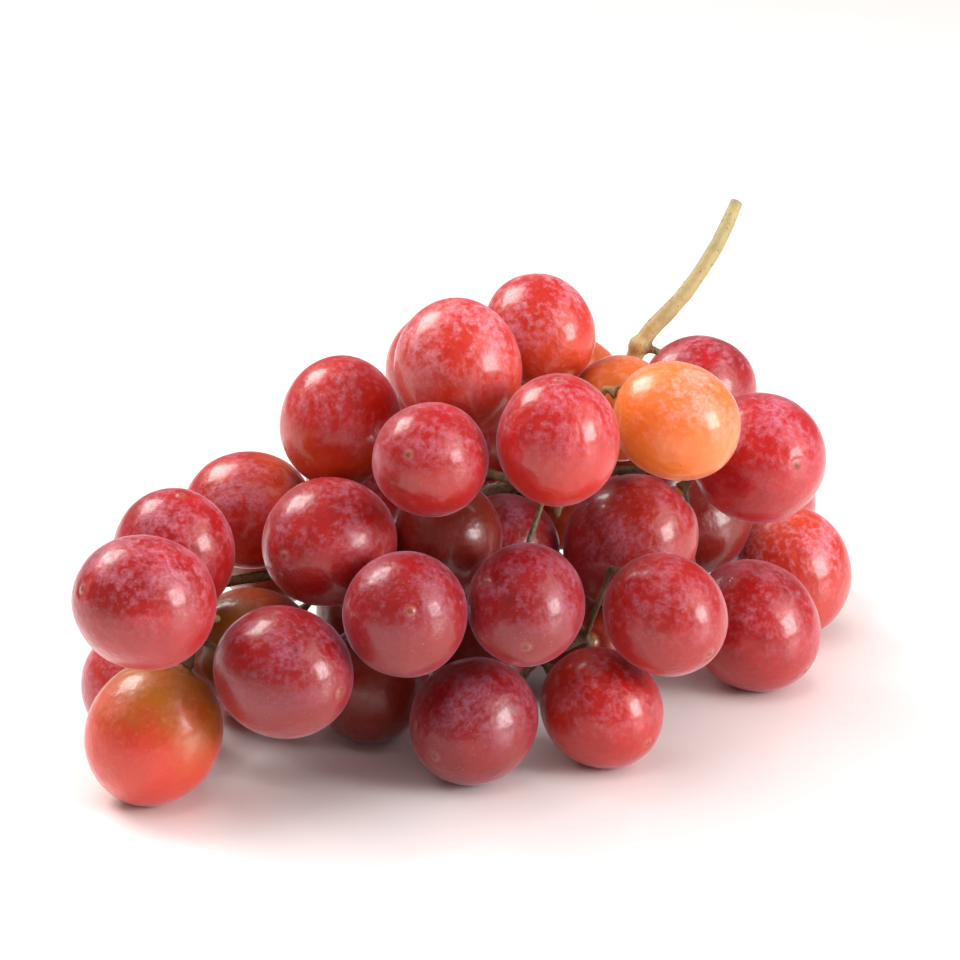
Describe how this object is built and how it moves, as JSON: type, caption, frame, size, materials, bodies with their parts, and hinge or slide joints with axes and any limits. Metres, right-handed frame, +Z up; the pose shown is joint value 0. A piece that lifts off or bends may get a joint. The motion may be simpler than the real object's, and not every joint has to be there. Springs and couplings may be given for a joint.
{
  "type": "bunch of grapes",
  "caption": "Bunch of red table grapes lying on its side, round berries on a branching straw-coloured stem.",
  "frame": {"origin": "centre of the bunch's footprint on the surface it rests on", "axes": "+X from the tip of the bunch towards its shoulder, where the cut stalk is; +Y from its front towards its back; +Z up from the surface"},
  "size_m": [0.1558, 0.1492, 0.097],
  "materials": {
    "skin": "semi-gloss under a dull bloom",
    "wood": "matt, fibrous"
  },
  "bodies": {
    "root": {"grape_tip_1": "skin", "grape_tip_2": "skin", "grape_tip_3": "skin", "grape_tip_4": "skin", "grape_tip_5": "skin", "grape_tip_6": "skin", "grape_flank_1": "skin", "grape_flank_2": "skin", "grape_flank_3": "skin", "grape_heel_1": "skin", "grape_heel_2": "skin", "grape_heel_3": "skin", "grape_heel_4": "skin", "grape_belly_1": "skin", "grape_belly_2": "skin", "grape_back_1": "skin", "grape_back_2": "skin", "grape_back_3": "skin", "grape_underside_1": "skin", "grape_underside_2": "skin", "grape_underside_3": "skin", "grape_underside_4": "skin", "grape_underside_5": "skin", "grape_underside_6": "skin", "grape_front_1": "skin", "grape_front_2": "skin", "grape_crown_1": "skin", "grape_crown_2": "skin", "grape_crown_3": "skin", "grape_top_1": "skin", "grape_top_2": "skin", "grape_top_3": "skin", "grape_neck_1": "skin", "grape_neck_2": "skin", "grape_neck_3": "skin", "grape_neck_4": "skin", "grape_shoulder_1": "skin", "grape_shoulder_2": "skin", "grape_shoulder_3": "skin", "grape_wing_1": "skin", "grape_wing_2": "skin", "grape_wing_3": "skin", "grape_side_1": "skin", "grape_side_2": "skin", "grape_foot_1": "skin", "grape_foot_2": "skin", "stem": "wood"}
  },
  "joints": []
}
